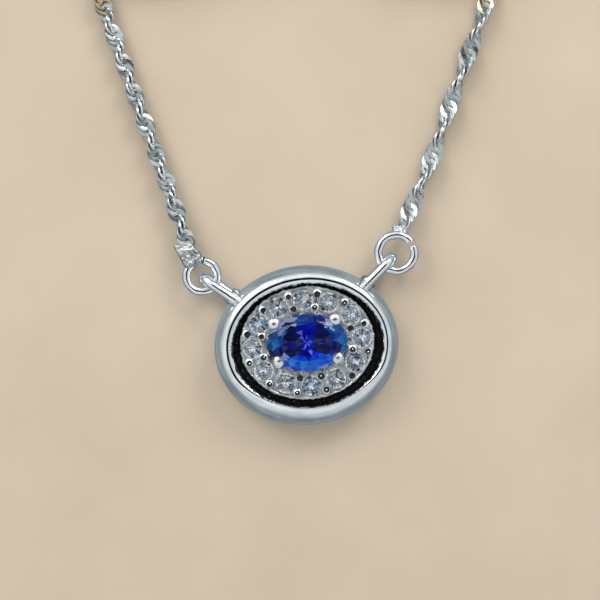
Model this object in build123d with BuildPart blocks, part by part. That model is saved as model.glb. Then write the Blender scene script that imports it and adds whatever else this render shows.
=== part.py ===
"""Pendant necklace: an oval halo pendant on a fine twisted-link chain, lying on its back.

Millimetres. +Z is up, out of the pendant's face, and +Y points from the pendant towards the
neck. The origin is the centre of the pendant's flat back, on the surface it lies on.
"""
import math
import os

from build123d import *

# ---- driving dimensions ----------------------------------------------------------------------

# oval frame: a domed, polished band round a recess
FRAME_SEMI = (7.93, 6.88)
FRAME_HEIGHT = 3.2
RECESS_SEMI = (6.45, 5.25)
RECESS_CENTRE = (0.13, 0.0)
FRAME_OUTER_ROUND = 0.8
FRAME_INNER_ROUND = 0.4
FRAME_BACK_ROUND = 0.55

BACK_THICKNESS = 0.6
ENAMEL_TOP = 1.5

# pavé plate inside the recess, carrying twelve round stones
CLUSTER_CENTRE = (0.10, 0.21)
PLATE_SEMI = (5.78, 4.86)
PLATE_TOP = 2.5
PLATE_ROUND = 0.2
PLATE_OPENING_SEMI = (3.16, 2.28)

HALO_COUNT = 12
HALO_SEMI = (4.70, 3.67)
HALO_RADIUS = 0.875
HALO_TABLE_RADIUS = 0.50
HALO_GIRDLE_THICKNESS = 0.08
HALO_CROWN_HEIGHT = 0.30
HALO_PAVILION_DEPTH = 0.75
LIGHT_HOLE_RADIUS = 0.45
CULET_RADIUS = 0.04

BEAD_RADIUS = 0.26
BEAD_STALK = BEAD_RADIUS
OUTER_BEAD_SEMI = (5.33, 4.27)
INNER_BEAD_SEMI = (4.00, 3.05)
GAPS_WITH_CLAWS = (1, 4, 7, 10)

# centre stone, seven by five, on a gallery with four claws
STONE_SEMI = (3.5, 2.5)
STONE_TABLE_RATIO = 0.56
STONE_KEEL_RATIO = 0.06
STONE_GIRDLE_Z = 2.72
STONE_GIRDLE_THICKNESS = 0.15
STONE_CROWN_HEIGHT = 0.75
STONE_PAVILION_DEPTH = 1.95
GALLERY_SEMI = (3.05, 2.15)
GALLERY_TOP = 2.3
CLAW_FOOT = (2.66, 1.76)
CLAW_HEAD = (2.54, 1.65)
CLAW_RADIUS = 0.34
CLAW_HEAD_RADIUS = 0.45
CLAW_FOOT_Z = 0.9
CLAW_HEAD_Z = 3.0

# eyelets: staples of round wire soldered to the frame, standing on edge
WIRE_LEVEL = 1.55
EYELET_ANGLE = {"left": 141.0, "right": 40.2}
EYELET_WIRE_RADIUS = 0.45
EYELET_BEND_RADIUS = 1.0
EYELET_TIP = 10.95
EYELET_FOOT = 7.05
SOLDER_RADIUS = 0.54
SOLDER_LENGTH = 0.75

# jump rings lie level, threaded through the eyelets
RING_MEAN_RADIUS = {"left": 1.34, "right": 1.535}
RING_WIRE_RADIUS = {"left": 0.36, "right": 0.335}
RING_CENTRE_REACH = {"left": 10.76, "right": 11.10}
RING_CUT_ANGLE = {"left": 79.0, "right": 21.5}
RING_CUT_WIDTH = {"left": 0.05, "right": 0.46}
RING_FIT = 0.06

# chain: a limp cord of twisted links, from its tab to its stored coil
CHAIN_RADIUS = 0.78
CHAIN_ROUTE = {
    "left": [
        (-9.38, 9.50, 1.20),
        (-9.95, 12.30, 1.20),
        (-11.28, 17.60, 0.80),
        (-12.62, 22.60, 0.78),
        (-13.92, 28.00, 0.78),
        (-15.38, 33.70, 0.78),
    ],
    "right": [
        (9.30, 9.42, 1.15),
        (10.62, 11.75, 1.15),
        (12.60, 15.45, 0.82),
        (14.75, 20.30, 0.78),
        (17.05, 25.10, 0.78),
        (19.45, 30.35, 0.78),
    ],
}
COIL_CENTRE = {"left": (-8.6, 41.2), "right": (14.4, 39.0)}
COIL_ENTRY_ANGLE = {"left": 194.3, "right": -25.7}
COIL_EXIT_ANGLE = {"left": 98.0, "right": 20.0}
COIL_SENSE = {"left": -1, "right": 1}
COIL_OUTER_TURN = 8.4
COIL_INNER_TURN = COIL_OUTER_TURN - 2 * CHAIN_RADIUS
COIL_LAYERS = 2
COIL_ROUND = 0.62

# tail: reach from the coil and height of each point; the left one ends level with the thicker clasp
TAIL_STEPS = {
    "left": [(3.0, 2.0), (5.6, 1.3), (8.0, 1.25)],
    "right": [(2.4, 1.8), (4.3, 1.05), (6.2, 0.8)],
}

# tabs: the left one is folded over its ring's wire, the right one passes under its ring's wire
TAB_WIDTH = {"left": 1.6, "right": 1.25}
TAB_INNER_EDGE = {"left": 0.98, "right": 0.95}
TAB_SHIFT = {"left": -0.12, "right": 0.0}
TAB_TOP = {"left": WIRE_LEVEL + RING_WIRE_RADIUS["left"] + 0.22, "right": WIRE_LEVEL}
TAB_DEPTH = 0.62
TAB_SIDE_ROUND = 0.12

# clasp end: a flat tag, a ring on edge and a lobster clasp
TAG_LENGTH = 2.0
TAG_EYE_RADIUS = 0.65
TAG_EYE_THICKNESS = 0.5
TAG_CUP_RADIUS = 0.76
TAG_CUP_LENGTH = 0.85
TAG_NECK_START = 0.62
CLASP_RING_MEAN_RADIUS = 1.0
CLASP_RING_WIRE_RADIUS = 0.25
TAG_HOLE_RADIUS = 0.38
CATCH_RING_MEAN_RADIUS = 1.5
CATCH_RING_WIRE_RADIUS = 0.3

CLASP_TAIL_RADIUS = 0.8
CLASP_TAIL_LENGTH = 1.6
CLASP_TAIL_THICKNESS = 0.8
CLASP_TAIL_HOLE = 0.5
CLASP_THICKNESS = 2.2
CLASP_BULB_CENTRE = (4.9, 0.0)
CLASP_BULB_RADIUS = 2.5
CLASP_HOOK_RADIUS = 1.7
CLASP_NECK_CENTRE = (1.7, 0.0)
CLASP_NECK_RADIUS = 0.9
CLASP_ROUND = 0.35
CLASP_PIVOT = (2.95, -0.95)
CLASP_MOUTH_RADIUS = 3.38
CLASP_MOUTH_CORNER = (3.9, 0.2)
CLASP_MOUTH_SIDE = 4.0
LEVER_REACH = 3.30
LEVER_CLEARANCE = 0.05
LEVER_BACK = 0.35
LEVER_SIDE = 4.5
LEVER_THICKNESS = 1.0
LEVER_SLOT = 1.1
LEVER_SLOT_RADIUS = 1.35
LEVER_SLOT_WINDOW = (2.4, 2.0)
LEVER_EYE_RADIUS = 0.7
LEVER_THUMB_CENTRE = (3.95, -2.4)
LEVER_THUMB_RADIUS = 0.42
CLASP_PIN_RADIUS = 0.3
CLASP_PIN_FIT = 0.03
SPRING_OUTLINE = [(1.75, -1.15), (1.95, -1.2), (2.12, -0.4), (2.45, 0.15), (2.3, 0.25), (1.95, -0.35)]

os.makedirs("parts", exist_ok=True)


def save(piece, name):
    """Label a finished piece and write it as one node."""
    piece.part.label = name
    export_step(piece.part, f"parts/{name}.step")


def heading(degrees):
    """Unit vector in the plan at an angle from +X."""
    turn = math.radians(degrees)
    return Vector(math.cos(turn), math.sin(turn), 0)


def oval_points(semi, count, offset):
    """Points spaced evenly along an oval's length, clockwise from the top, offset in steps."""
    fine = 3600
    at = [(semi[0] * math.sin(2 * math.pi * i / fine), semi[1] * math.cos(2 * math.pi * i / fine))
          for i in range(fine + 1)]
    run = [0.0]
    for here, there in zip(at, at[1:]):
        run.append(run[-1] + math.dist(here, there))
    points = []
    for i in range(count):
        wanted = run[-1] * ((i + offset) % count) / count
        nearest = min(range(fine), key=lambda k: abs(run[k] - wanted))
        points.append((at[nearest][0] + CLUSTER_CENTRE[0], at[nearest][1] + CLUSTER_CENTRE[1]))
    return points


halo_points = oval_points(HALO_SEMI, HALO_COUNT, 0)
outer_bead_points = oval_points(OUTER_BEAD_SEMI, HALO_COUNT, 0.5)
inner_bead_points = [point for i, point in enumerate(oval_points(INNER_BEAD_SEMI, HALO_COUNT, 0.5))
                     if i not in GAPS_WITH_CLAWS]
claw_feet = [(CLUSTER_CENTRE[0] + sx * CLAW_FOOT[0], CLUSTER_CENTRE[1] + sy * CLAW_FOOT[1])
             for sx in (-1, 1) for sy in (-1, 1)]
claw_heads = [(CLUSTER_CENTRE[0] + sx * CLAW_HEAD[0], CLUSTER_CENTRE[1] + sy * CLAW_HEAD[1])
              for sx in (-1, 1) for sy in (-1, 1)]

# ---- pendant: frame, back, enamel and pavé plate ---------------------------------------------

with BuildPart() as bezel_frame:
    with BuildSketch():
        Ellipse(*FRAME_SEMI)
    extrude(amount=FRAME_HEIGHT)
    with BuildSketch():
        with Locations(RECESS_CENTRE):
            Ellipse(*RECESS_SEMI)
    extrude(amount=FRAME_HEIGHT, mode=Mode.SUBTRACT)
    fillet(bezel_frame.edges().group_by(Axis.Z)[-1].sort_by(SortBy.LENGTH)[-1], FRAME_OUTER_ROUND)
    fillet(bezel_frame.edges().group_by(Axis.Z)[-1].sort_by(SortBy.LENGTH)[0], FRAME_INNER_ROUND)
    fillet(bezel_frame.edges().group_by(Axis.Z)[0].sort_by(SortBy.LENGTH)[-1], FRAME_BACK_ROUND)
save(bezel_frame, "bezel_frame")

with BuildPart() as back_plate:
    with BuildSketch():
        with Locations(RECESS_CENTRE):
            Ellipse(*RECESS_SEMI)
        with Locations(*halo_points):
            Circle(LIGHT_HOLE_RADIUS, mode=Mode.SUBTRACT)
    extrude(amount=BACK_THICKNESS)
save(back_plate, "back_plate")

with BuildPart() as enamel_channel:
    with BuildSketch(Plane.XY.offset(BACK_THICKNESS)):
        with Locations(RECESS_CENTRE):
            Ellipse(*RECESS_SEMI)
        with Locations(CLUSTER_CENTRE):
            Ellipse(*PLATE_SEMI, mode=Mode.SUBTRACT)
    extrude(amount=ENAMEL_TOP - BACK_THICKNESS)
save(enamel_channel, "enamel_channel")

halo_girdle_z = PLATE_TOP - HALO_GIRDLE_THICKNESS

with BuildPart() as halo_plate:
    with BuildSketch(Plane.XY.offset(BACK_THICKNESS)):
        with Locations(CLUSTER_CENTRE):
            Ellipse(*PLATE_SEMI)
            Ellipse(*PLATE_OPENING_SEMI, mode=Mode.SUBTRACT)
    extrude(amount=PLATE_TOP - BACK_THICKNESS)
    fillet(halo_plate.edges().group_by(Axis.Z)[-1].sort_by(SortBy.LENGTH)[-1], PLATE_ROUND)
    with Locations(*[(x, y, halo_girdle_z) for x, y in halo_points]):
        Cylinder(HALO_RADIUS, PLATE_TOP - halo_girdle_z, mode=Mode.SUBTRACT,
                 align=(Align.CENTER, Align.CENTER, Align.MIN))
        Cone(CULET_RADIUS, HALO_RADIUS, HALO_PAVILION_DEPTH, mode=Mode.SUBTRACT,
             align=(Align.CENTER, Align.CENTER, Align.MAX))
    with BuildSketch(Plane.XY.offset(BACK_THICKNESS)):
        with Locations(*halo_points):
            Circle(LIGHT_HOLE_RADIUS)
    extrude(amount=halo_girdle_z - HALO_PAVILION_DEPTH / 2 - BACK_THICKNESS, mode=Mode.SUBTRACT)
    with BuildSketch(Plane.XY.offset(BACK_THICKNESS)):
        with Locations(*claw_feet):
            Circle(CLAW_RADIUS)
    extrude(amount=PLATE_TOP - BACK_THICKNESS, mode=Mode.SUBTRACT)
save(halo_plate, "halo_plate")

# ---- halo stones and the beads that hold them ------------------------------------------------

for number, (x, y) in enumerate(halo_points, start=1):
    with BuildPart(Plane(origin=(x, y, halo_girdle_z))) as halo_stone:
        Cylinder(HALO_RADIUS, HALO_GIRDLE_THICKNESS, align=(Align.CENTER, Align.CENTER, Align.MIN))
        Cone(CULET_RADIUS, HALO_RADIUS, HALO_PAVILION_DEPTH, align=(Align.CENTER, Align.CENTER, Align.MAX))
        with Locations((0, 0, HALO_GIRDLE_THICKNESS)):
            Cone(HALO_RADIUS, HALO_TABLE_RADIUS, HALO_CROWN_HEIGHT,
                 align=(Align.CENTER, Align.CENTER, Align.MIN))
    save(halo_stone, f"halo_stone_{number:02d}")


def beads(points):
    """Short stalks with round heads, standing on the pavé plate."""
    with BuildPart(Plane.XY.offset(PLATE_TOP)) as grains:
        with Locations(*points):
            Cylinder(BEAD_RADIUS, BEAD_STALK, align=(Align.CENTER, Align.CENTER, Align.MIN))
        with Locations(*[(x, y, BEAD_STALK) for x, y in points]):
            Sphere(BEAD_RADIUS)
    return grains


save(beads(outer_bead_points), "halo_beads_outer")
save(beads(inner_bead_points), "halo_beads_inner")

# ---- centre stone, gallery and claws ---------------------------------------------------------

stone_plane = Plane(origin=(*CLUSTER_CENTRE, STONE_GIRDLE_Z))
crown_foot = STONE_GIRDLE_THICKNESS
crown_top = STONE_GIRDLE_THICKNESS + STONE_CROWN_HEIGHT

with BuildPart() as centre_stone:
    with BuildSketch(stone_plane):
        Ellipse(*STONE_SEMI)
    extrude(amount=STONE_GIRDLE_THICKNESS)
    with BuildSketch(stone_plane.offset(crown_foot)):
        Ellipse(*STONE_SEMI)
    with BuildSketch(stone_plane.offset(crown_top)):
        Ellipse(STONE_SEMI[0] * STONE_TABLE_RATIO, STONE_SEMI[1] * STONE_TABLE_RATIO)
    loft()
    with BuildSketch(stone_plane):
        Ellipse(*STONE_SEMI)
    with BuildSketch(stone_plane.offset(-STONE_PAVILION_DEPTH)):
        Ellipse(STONE_SEMI[0] * STONE_KEEL_RATIO, STONE_SEMI[1] * STONE_KEEL_RATIO)
    loft()
save(centre_stone, "centre_stone")

with BuildPart() as centre_gallery:
    with BuildSketch(Plane.XY.offset(BACK_THICKNESS)):
        with Locations(CLUSTER_CENTRE):
            Ellipse(*GALLERY_SEMI)
    extrude(amount=GALLERY_TOP - BACK_THICKNESS)
    add(centre_stone.part, mode=Mode.SUBTRACT)
save(centre_gallery, "centre_gallery")

with BuildPart() as centre_claws:
    for foot, head in zip(claw_feet, claw_heads):
        with BuildSketch(Plane.XY.offset(CLAW_FOOT_Z)):
            with Locations(foot):
                Circle(CLAW_RADIUS)
        extrude(amount=CLAW_HEAD_Z - CLAW_FOOT_Z)
        with Locations((*head, CLAW_HEAD_Z)):
            Sphere(CLAW_HEAD_RADIUS)
    add(centre_stone.part, mode=Mode.SUBTRACT)
save(centre_claws, "centre_claws")

# ---- eyelets and jump rings ------------------------------------------------------------------

ring_centre = {}
for side, angle in EYELET_ANGLE.items():
    out = heading(angle)
    across = out.cross(Vector(0, 0, 1))
    bend_reach = EYELET_TIP - EYELET_WIRE_RADIUS - EYELET_BEND_RADIUS
    bend_centre = out * bend_reach + Vector(0, 0, WIRE_LEVEL)
    leg_length = bend_reach - EYELET_FOOT
    upper_leg = Plane(origin=bend_centre + Vector(0, 0, EYELET_BEND_RADIUS), z_dir=-out)
    lower_leg = Plane(origin=bend_centre - Vector(0, 0, EYELET_BEND_RADIUS), z_dir=-out)
    with BuildPart() as eyelet:
        with BuildSketch(upper_leg, lower_leg):
            Circle(EYELET_WIRE_RADIUS)
        extrude(amount=leg_length)
        with BuildSketch(upper_leg):
            Circle(EYELET_WIRE_RADIUS)
        revolve(axis=Axis(bend_centre, -across), revolution_arc=180)
        feet = [Plane(origin=leg.origin - out * leg_length, z_dir=out) for leg in (upper_leg, lower_leg)]
        with Locations(*feet):
            Cone(SOLDER_RADIUS, EYELET_WIRE_RADIUS, SOLDER_LENGTH,
                 align=(Align.CENTER, Align.CENTER, Align.MIN))
    save(eyelet, f"eyelet_{side}")

    centre = out * RING_CENTRE_REACH[side] + Vector(0, 0, WIRE_LEVEL)
    ring_centre[side] = centre
    cut = heading(RING_CUT_ANGLE[side])
    blade = 4 * RING_WIRE_RADIUS[side]
    with BuildPart(Plane(origin=centre)) as jump_ring:
        Torus(RING_MEAN_RADIUS[side], RING_WIRE_RADIUS[side])
        with Locations(Plane(origin=cut * RING_MEAN_RADIUS[side], x_dir=cut).location):
            Box(blade, RING_CUT_WIDTH[side], blade, mode=Mode.SUBTRACT)
    save(jump_ring, f"jump_ring_{side}")

# ---- chains: straight stretch, stored coil and tail ------------------------------------------


def tube(points, side, stretch):
    """A round cord on straight runs joined by arcs as large as the runs allow."""
    points = [Vector(*p) for p in points]
    radii = []
    for before, here, after in zip(points, points[1:], points[2:]):
        turn = math.radians((here - before).get_angle(after - here))
        shorter = min((here - before).length, (after - here).length)
        radii.append(0.45 * shorter / math.tan(turn / 2))
    print(side, stretch, "bend radii", [round(r, 1) for r in radii])
    with BuildPart() as cord:
        with BuildLine() as route:
            FilletPolyline(*points, radius=radii)
        with BuildSketch(Plane(origin=points[0], z_dir=points[1] - points[0])):
            Circle(CHAIN_RADIUS)
        sweep(path=route.line)
    length = route.wires()[0].length
    wanted = math.pi * CHAIN_RADIUS**2 * length
    print(side, stretch, "length", round(length, 2), "volume ratio", round(cord.part.volume / wanted, 4))
    return cord


def coil_point(side, angle, radius):
    """A point above or on the coil of one side, in the plan."""
    cx, cy = COIL_CENTRE[side]
    return Vector(cx, cy, 0) + heading(angle) * radius


tail_end = {}
tail_heading = {}
for side in ("left", "right"):
    entry = coil_point(side, COIL_ENTRY_ANGLE[side], COIL_OUTER_TURN) + Vector(0, 0, CHAIN_RADIUS)
    save(tube([*CHAIN_ROUTE[side], entry], side, "run"), f"chain_{side}")

    with BuildPart() as coil:
        with BuildSketch(Plane(origin=(*COIL_CENTRE[side], 0))):
            Circle(COIL_OUTER_TURN + CHAIN_RADIUS)
            Circle(COIL_INNER_TURN - CHAIN_RADIUS, mode=Mode.SUBTRACT)
        extrude(amount=2 * COIL_LAYERS * CHAIN_RADIUS)
        fillet(coil.edges().filter_by(GeomType.CIRCLE), COIL_ROUND)
    save(coil, f"chain_{side}_coil")

    exit_level = (2 * COIL_LAYERS - 1) * CHAIN_RADIUS
    leave = coil_point(side, COIL_EXIT_ANGLE[side], COIL_OUTER_TURN) + Vector(0, 0, exit_level)
    along = heading(COIL_EXIT_ANGLE[side] + 90 * COIL_SENSE[side])
    tail = [leave] + [Vector(leave.X, leave.Y, level) + along * reach for reach, level in TAIL_STEPS[side]]
    save(tube(tail, side, "tail"), f"chain_{side}_tail")
    tail_end[side] = tail[-1]
    tail_heading[side] = along

# ---- tabs that fasten the chains to the jump rings -------------------------------------------

for side in ("left", "right"):
    start = Vector(*CHAIN_ROUTE[side][0])
    onward = (Vector(*CHAIN_ROUTE[side][1]) - start).normalized()
    centre = ring_centre[side]
    reach = (start - centre).dot(onward)
    length = reach - TAB_INNER_EDGE[side]
    low = start.Z - TAB_DEPTH
    groove = Pos(*centre) * Torus(RING_MEAN_RADIUS[side], RING_WIRE_RADIUS[side] + RING_FIT)
    with BuildPart() as chain_tab:
        with BuildSketch(Plane(origin=(start.X, start.Y, low), x_dir=onward)):
            with Locations((0, TAB_SHIFT[side])):
                Rectangle(length, TAB_WIDTH[side], align=(Align.MAX, Align.CENTER))
        extrude(amount=TAB_TOP[side] - low)
        fillet(chain_tab.edges().filter_by(Axis.Z), TAB_SIDE_ROUND)
        add(groove, mode=Mode.SUBTRACT)
    save(chain_tab, f"chain_tab_{side}")

# ---- clasp end of the left chain -------------------------------------------------------------

for side in ("left", "right"):
    eye_at = TAG_LENGTH - TAG_EYE_RADIUS
    tag_plane = Plane(origin=tail_end[side], x_dir=tail_heading[side], z_dir=(0, 0, 1))
    cup_plane = Plane(origin=tail_end[side], z_dir=tail_heading[side])
    eye_plane = tag_plane
    if side == "right":
        eye_plane = Plane(origin=tail_end[side], x_dir=tail_heading[side],
                          z_dir=tail_heading[side].cross(Vector(0, 0, 1)))
    with BuildPart() as end_tag:
        with BuildSketch(cup_plane):
            Circle(TAG_CUP_RADIUS)
        extrude(amount=TAG_CUP_LENGTH)
        with BuildSketch(eye_plane.offset(-TAG_EYE_THICKNESS / 2)):
            with Locations((eye_at, 0)):
                Circle(TAG_EYE_RADIUS)
            with Locations((TAG_NECK_START, 0)):
                Rectangle(eye_at - TAG_NECK_START, 2 * TAG_EYE_RADIUS, align=(Align.MIN, Align.CENTER))
        extrude(amount=TAG_EYE_THICKNESS)
        with BuildSketch(eye_plane.offset(-TAG_EYE_THICKNESS)):
            with Locations((eye_at, 0)):
                Circle(TAG_HOLE_RADIUS)
        extrude(amount=2 * TAG_EYE_THICKNESS, mode=Mode.SUBTRACT)
    save(end_tag, f"end_tag_{side}")

clasp_heading = tail_heading["left"]
tag_eye_left = tail_end["left"] + clasp_heading * (TAG_LENGTH - TAG_EYE_RADIUS)
clasp_ring_centre = tag_eye_left + clasp_heading * CLASP_RING_MEAN_RADIUS

with BuildPart(Plane(origin=clasp_ring_centre, x_dir=clasp_heading,
                     z_dir=clasp_heading.cross(Vector(0, 0, 1)))) as clasp_ring:
    Torus(CLASP_RING_MEAN_RADIUS, CLASP_RING_WIRE_RADIUS)
save(clasp_ring, "clasp_ring")

tag_eye_right = tail_end["right"] + tail_heading["right"] * (TAG_LENGTH - TAG_EYE_RADIUS)
catch_centre = tag_eye_right + tail_heading["right"] * CATCH_RING_MEAN_RADIUS
with BuildPart(Plane(origin=catch_centre)) as catch_ring:
    Torus(CATCH_RING_MEAN_RADIUS, CATCH_RING_WIRE_RADIUS)
save(catch_ring, "catch_ring")

# ---- lobster clasp ---------------------------------------------------------------------------

clasp_eye = clasp_ring_centre + clasp_heading * CLASP_RING_MEAN_RADIUS
clasp_plane = Plane(origin=clasp_eye, x_dir=clasp_heading, z_dir=(0, 0, 1))

with BuildPart() as clasp_body:
    with BuildSketch(clasp_plane.offset(-CLASP_THICKNESS / 2)):
        with Locations(CLASP_BULB_CENTRE):
            Circle(CLASP_BULB_RADIUS)
        with Locations(CLASP_NECK_CENTRE):
            Circle(CLASP_NECK_RADIUS)
        make_hull()
    extrude(amount=CLASP_THICKNESS)
    fillet(clasp_body.edges().group_by(Axis.Z)[-1], CLASP_ROUND)
    fillet(clasp_body.edges().group_by(Axis.Z)[0], CLASP_ROUND)
    with BuildSketch(clasp_plane.offset(-CLASP_TAIL_THICKNESS / 2)):
        Circle(CLASP_TAIL_RADIUS)
        Rectangle(CLASP_TAIL_LENGTH, 2 * CLASP_TAIL_RADIUS, align=(Align.MIN, Align.CENTER))
    extrude(amount=CLASP_TAIL_THICKNESS)
    with BuildSketch(clasp_plane.offset(-CLASP_THICKNESS)):
        Circle(CLASP_TAIL_HOLE)
        with Locations(CLASP_BULB_CENTRE):
            Circle(CLASP_HOOK_RADIUS)
        with Locations(CLASP_PIVOT):
            Circle(CLASP_PIN_RADIUS)
    extrude(amount=2 * CLASP_THICKNESS, mode=Mode.SUBTRACT)
    with BuildSketch(clasp_plane.offset(-CLASP_THICKNESS)):
        with Locations(CLASP_PIVOT):
            Circle(CLASP_MOUTH_RADIUS)
        with Locations(CLASP_MOUTH_CORNER):
            Rectangle(CLASP_MOUTH_SIDE, CLASP_MOUTH_SIDE, align=(Align.MIN, Align.MAX), mode=Mode.INTERSECT)
    extrude(amount=2 * CLASP_THICKNESS, mode=Mode.SUBTRACT)
    with BuildSketch(clasp_plane.offset(-LEVER_SLOT / 2)):
        with Locations(CLASP_PIVOT):
            Circle(LEVER_SLOT_RADIUS)
        with Locations(CLASP_PIVOT):
            Rectangle(*LEVER_SLOT_WINDOW, align=(Align.MIN, Align.MAX))
    extrude(amount=LEVER_SLOT, mode=Mode.SUBTRACT)
save(clasp_body, "clasp_body")

with BuildPart() as clasp_lever:
    with BuildSketch(clasp_plane.offset(-LEVER_THICKNESS / 2)):
        with Locations(CLASP_BULB_CENTRE):
            Circle(CLASP_BULB_RADIUS - LEVER_CLEARANCE)
            Circle(CLASP_HOOK_RADIUS - LEVER_CLEARANCE, mode=Mode.SUBTRACT)
        with Locations(CLASP_PIVOT):
            Circle(LEVER_REACH, mode=Mode.INTERSECT)
        with Locations((CLASP_PIVOT[0], CLASP_PIVOT[1] + LEVER_BACK)):
            Rectangle(LEVER_SIDE, LEVER_SIDE, align=(Align.MIN, Align.MAX), mode=Mode.INTERSECT)
        with Locations(CLASP_PIVOT):
            Circle(LEVER_EYE_RADIUS)
        with Locations(LEVER_THUMB_CENTRE):
            Circle(LEVER_THUMB_RADIUS)
    extrude(amount=LEVER_THICKNESS)
    with BuildSketch(clasp_plane.offset(-LEVER_THICKNESS)):
        with Locations(CLASP_PIVOT):
            Circle(CLASP_PIN_RADIUS + CLASP_PIN_FIT)
    extrude(amount=2 * LEVER_THICKNESS, mode=Mode.SUBTRACT)
save(clasp_lever, "clasp_lever")

with BuildPart() as clasp_pin:
    with BuildSketch(clasp_plane.offset(-CLASP_THICKNESS / 2)):
        with Locations(CLASP_PIVOT):
            Circle(CLASP_PIN_RADIUS)
    extrude(amount=CLASP_THICKNESS)
save(clasp_pin, "clasp_pin")

with BuildPart() as clasp_spring:
    with BuildSketch(clasp_plane.offset(-LEVER_THICKNESS / 2)):
        with BuildLine():
            Polyline(*SPRING_OUTLINE, close=True)
        make_face()
    extrude(amount=LEVER_THICKNESS)
save(clasp_spring, "clasp_spring")

# ---- positions that the joints use -----------------------------------------------------------

for side, angle in EYELET_ANGLE.items():
    out = heading(angle)
    print(side, "eyelet axis at", out * (RING_CENTRE_REACH[side] - RING_MEAN_RADIUS[side]), "ring centre",
          ring_centre[side])
    print(side, "tail end", tail_end[side], "heading", tail_heading[side])
print("tag eyes", tag_eye_left, tag_eye_right)
print("clasp eye", clasp_eye, "pivot", clasp_plane.from_local_coords(Vector(*CLASP_PIVOT, 0)))
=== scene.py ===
"""The pendant necklace's looks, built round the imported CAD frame.

Metres, +Z out of the pendant's face, +Y towards the neck. Sizes below are in millimetres, as in the
CAD part, and MM turns them into metres where a mesh, a light or the camera is made.
"""
import random
from math import cos, degrees, dist, exp, pi, radians, sin

import bpy
import numpy as np
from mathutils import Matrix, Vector, noise


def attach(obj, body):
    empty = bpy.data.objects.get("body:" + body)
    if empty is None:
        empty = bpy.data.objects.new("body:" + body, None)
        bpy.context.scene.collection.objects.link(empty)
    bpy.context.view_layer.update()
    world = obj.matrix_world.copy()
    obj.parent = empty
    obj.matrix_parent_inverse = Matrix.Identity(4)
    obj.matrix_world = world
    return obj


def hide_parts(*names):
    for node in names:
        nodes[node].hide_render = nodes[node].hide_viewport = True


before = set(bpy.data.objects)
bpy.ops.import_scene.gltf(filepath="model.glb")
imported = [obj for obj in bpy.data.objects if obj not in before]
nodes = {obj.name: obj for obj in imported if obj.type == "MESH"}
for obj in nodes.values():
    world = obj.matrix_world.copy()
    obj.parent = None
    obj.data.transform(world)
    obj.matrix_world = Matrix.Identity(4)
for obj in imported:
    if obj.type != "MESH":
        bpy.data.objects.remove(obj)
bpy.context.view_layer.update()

MM = 0.001
NOISE_SEED = 4
# without a seed, noise_vector gives other vectors in each run
noise.seed_set(NOISE_SEED)


def placed(name, data):
    """A new object in the scene for this data."""
    made = bpy.data.objects.new(name, data)
    bpy.context.scene.collection.objects.link(made)
    return made


# ---- camera: straight down on the face, turned with the way the pendant hangs ----

PICTURE_WIDTH = 51.59
VIEW_CENTRE = (-0.165, 3.921)
VIEW_TURN = radians(-5.5)
VIEW_LEVEL = 1.6
LENS = 135.0
SENSOR = 36.0

camera_data = bpy.data.cameras.new("camera")
camera_data.lens = LENS
camera_data.sensor_width = SENSOR
camera_data.clip_start = 0.005
camera_data.clip_end = 5.0
camera = placed("camera", camera_data)
camera_height = PICTURE_WIDTH * LENS / SENSOR + VIEW_LEVEL
camera.location = Vector((*VIEW_CENTRE, camera_height)) * MM
camera.rotation_euler = (0, 0, VIEW_TURN)
bpy.context.scene.camera = camera

# ---- mesh helpers ----


def heading(angle):
    """Unit vector in the plan at this many degrees from +X."""
    turn = radians(angle)
    return Vector((cos(turn), sin(turn), 0))


def unit(rows):
    """Rows of vectors, each made one long."""
    return rows / np.linalg.norm(rows, axis=-1, keepdims=True)


def grid_faces(rows, columns, wrap_rows=False, wrap_columns=True):
    """Quads of a grid of points, row by row, that may close on itself either way."""
    faces = []
    for i in range(rows if wrap_rows else rows - 1):
        for j in range(columns if wrap_columns else columns - 1):
            here = i * columns + j
            beside = i * columns + (j + 1) % columns
            beyond = (i + 1) % rows * columns + (j + 1) % columns
            ahead = (i + 1) % rows * columns + j
            faces.append((here, beside, beyond, ahead))
    return faces


def tube_faces(rows, columns):
    """Quads of rows of points that close round on themselves, and a cap at each end."""
    caps = [tuple(reversed(range(columns))), tuple(range((rows - 1) * columns, rows * columns))]
    return grid_faces(rows, columns) + caps


def lengths_along(line):
    """How far along a line of points each one lies."""
    return np.concatenate([[0], np.cumsum(np.linalg.norm(np.diff(line, axis=0), axis=1))])


class Shape:
    """Points and faces gathered for one piece, each face with its material's number."""

    def __init__(self):
        self.points = []
        self.faces = []
        self.numbers = []
        self.tints = []

    def add(self, points, faces, number=0, tint=(1.0, 1.0, 1.0)):
        used = sorted({k for face in faces for k in face})
        place = {k: len(self.points) + order for order, k in enumerate(used)}
        self.points.extend([tuple(points[k]) for k in used])
        self.faces.extend([tuple(place[k] for k in face) for face in faces])
        self.numbers.extend([number] * len(faces))
        self.tints.extend([tint] * len(faces))


def make_piece(name, shape, body, materials, replaces=(), smooth=True, tinted=False):
    """One mesh object from a shape, riding on a body, in place of its CAD nodes."""
    mesh = bpy.data.meshes.new(name)
    mesh.from_pydata([(x * MM, y * MM, z * MM) for x, y, z in shape.points], [], shape.faces)
    for material in materials:
        mesh.materials.append(material)
    mesh.polygons.foreach_set("material_index", shape.numbers)
    mesh.polygons.foreach_set("use_smooth", [smooth] * len(shape.faces))
    if tinted:
        colours = mesh.color_attributes.new("facet", "FLOAT_COLOR", "CORNER")
        for polygon in mesh.polygons:
            for corner in polygon.loop_indices:
                colours.data[corner].color = (*shape.tints[polygon.index], 1.0)
    mesh.validate()
    mesh.update()
    piece = placed(name, mesh)
    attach(piece, body)
    if replaces:
        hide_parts(*replaces)
    return piece


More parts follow.
